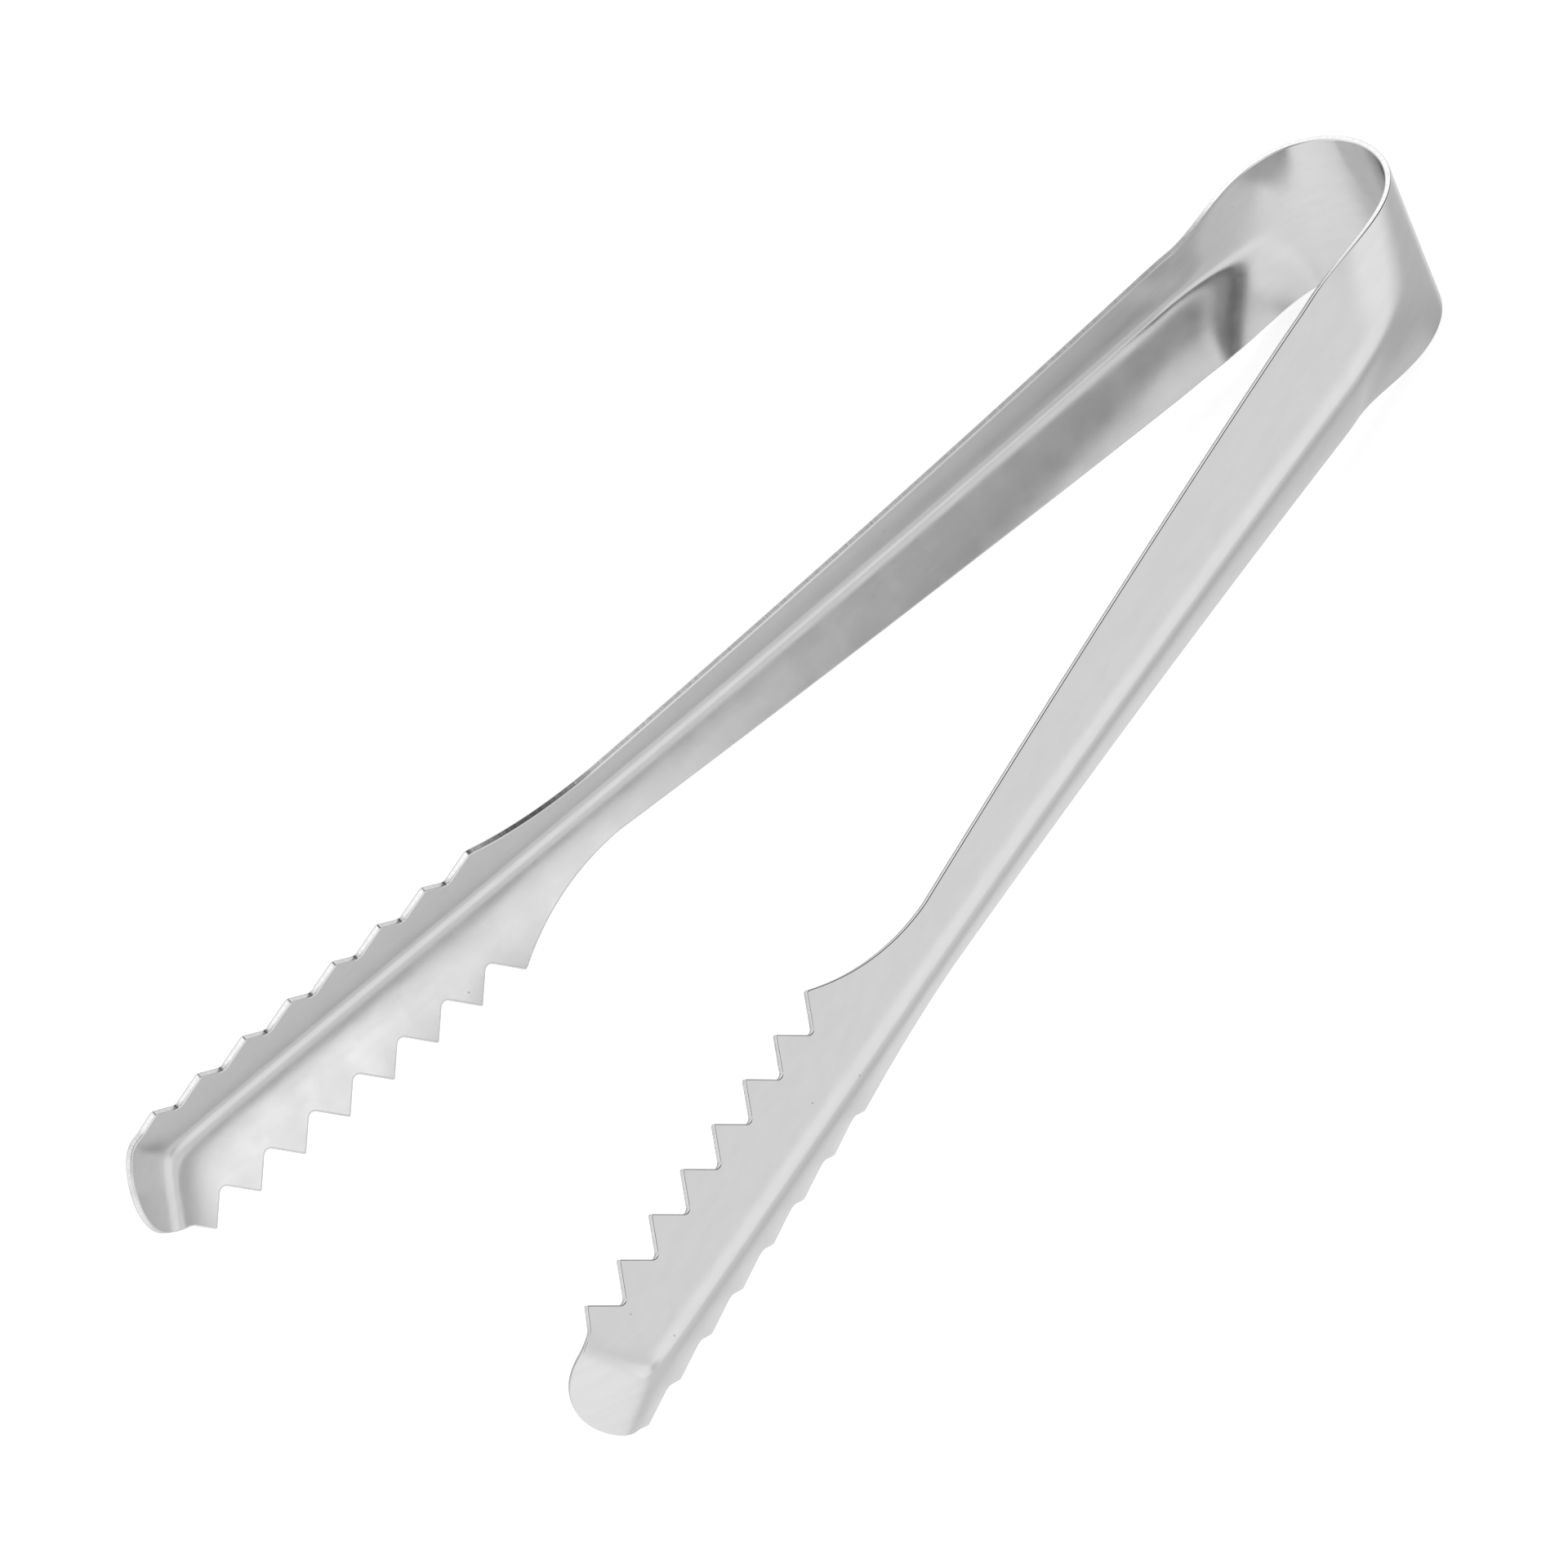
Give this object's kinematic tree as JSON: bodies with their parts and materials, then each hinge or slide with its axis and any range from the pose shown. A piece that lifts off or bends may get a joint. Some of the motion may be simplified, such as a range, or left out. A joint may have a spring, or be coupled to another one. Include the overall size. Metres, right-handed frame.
{
  "type": "ice tongs",
  "caption": "Sprung one-piece ice tongs bent from a steel strip, with a round bow, V-folded arms, toothed jaws and bent-in rounded tips.",
  "frame": {"origin": "centre of the round bow, on its axis and halfway across the strip", "axes": "+Z across the strip along the bow's axis; the arms run towards -X and open to both sides of Y = 0; the right arm is on +Y and the left arm on -Y"},
  "size_m": [0.1793, 0.0778, 0.0202],
  "materials": {
    "steel": "satin to semi-bright polished stainless steel with bright cut edges"
  },
  "bodies": {
    "bow": {"bow": "steel"},
    "left_arm": {"left_arm": "steel"},
    "right_arm": {"right_arm": "steel"}
  },
  "joints": [
    {"name": "right_squeeze", "type": "hinge", "parent": "bow", "child": "right_arm", "pos_m": [0.00512, 0.00847, 0], "axis": [0, 0, 1], "range_deg": [-3, 10.53], "stiffness_Nm_per_rad": 8},
    {"name": "left_squeeze", "type": "hinge", "parent": "bow", "child": "left_arm", "pos_m": [0.00512, -0.00847, 0], "axis": [0, 0, -1], "range_deg": [-3, 10.53], "stiffness_Nm_per_rad": 8}
  ],
  "couplings": [
    {"joint": "left_squeeze", "follows": "right_squeeze", "ratio": 1}
  ]
}
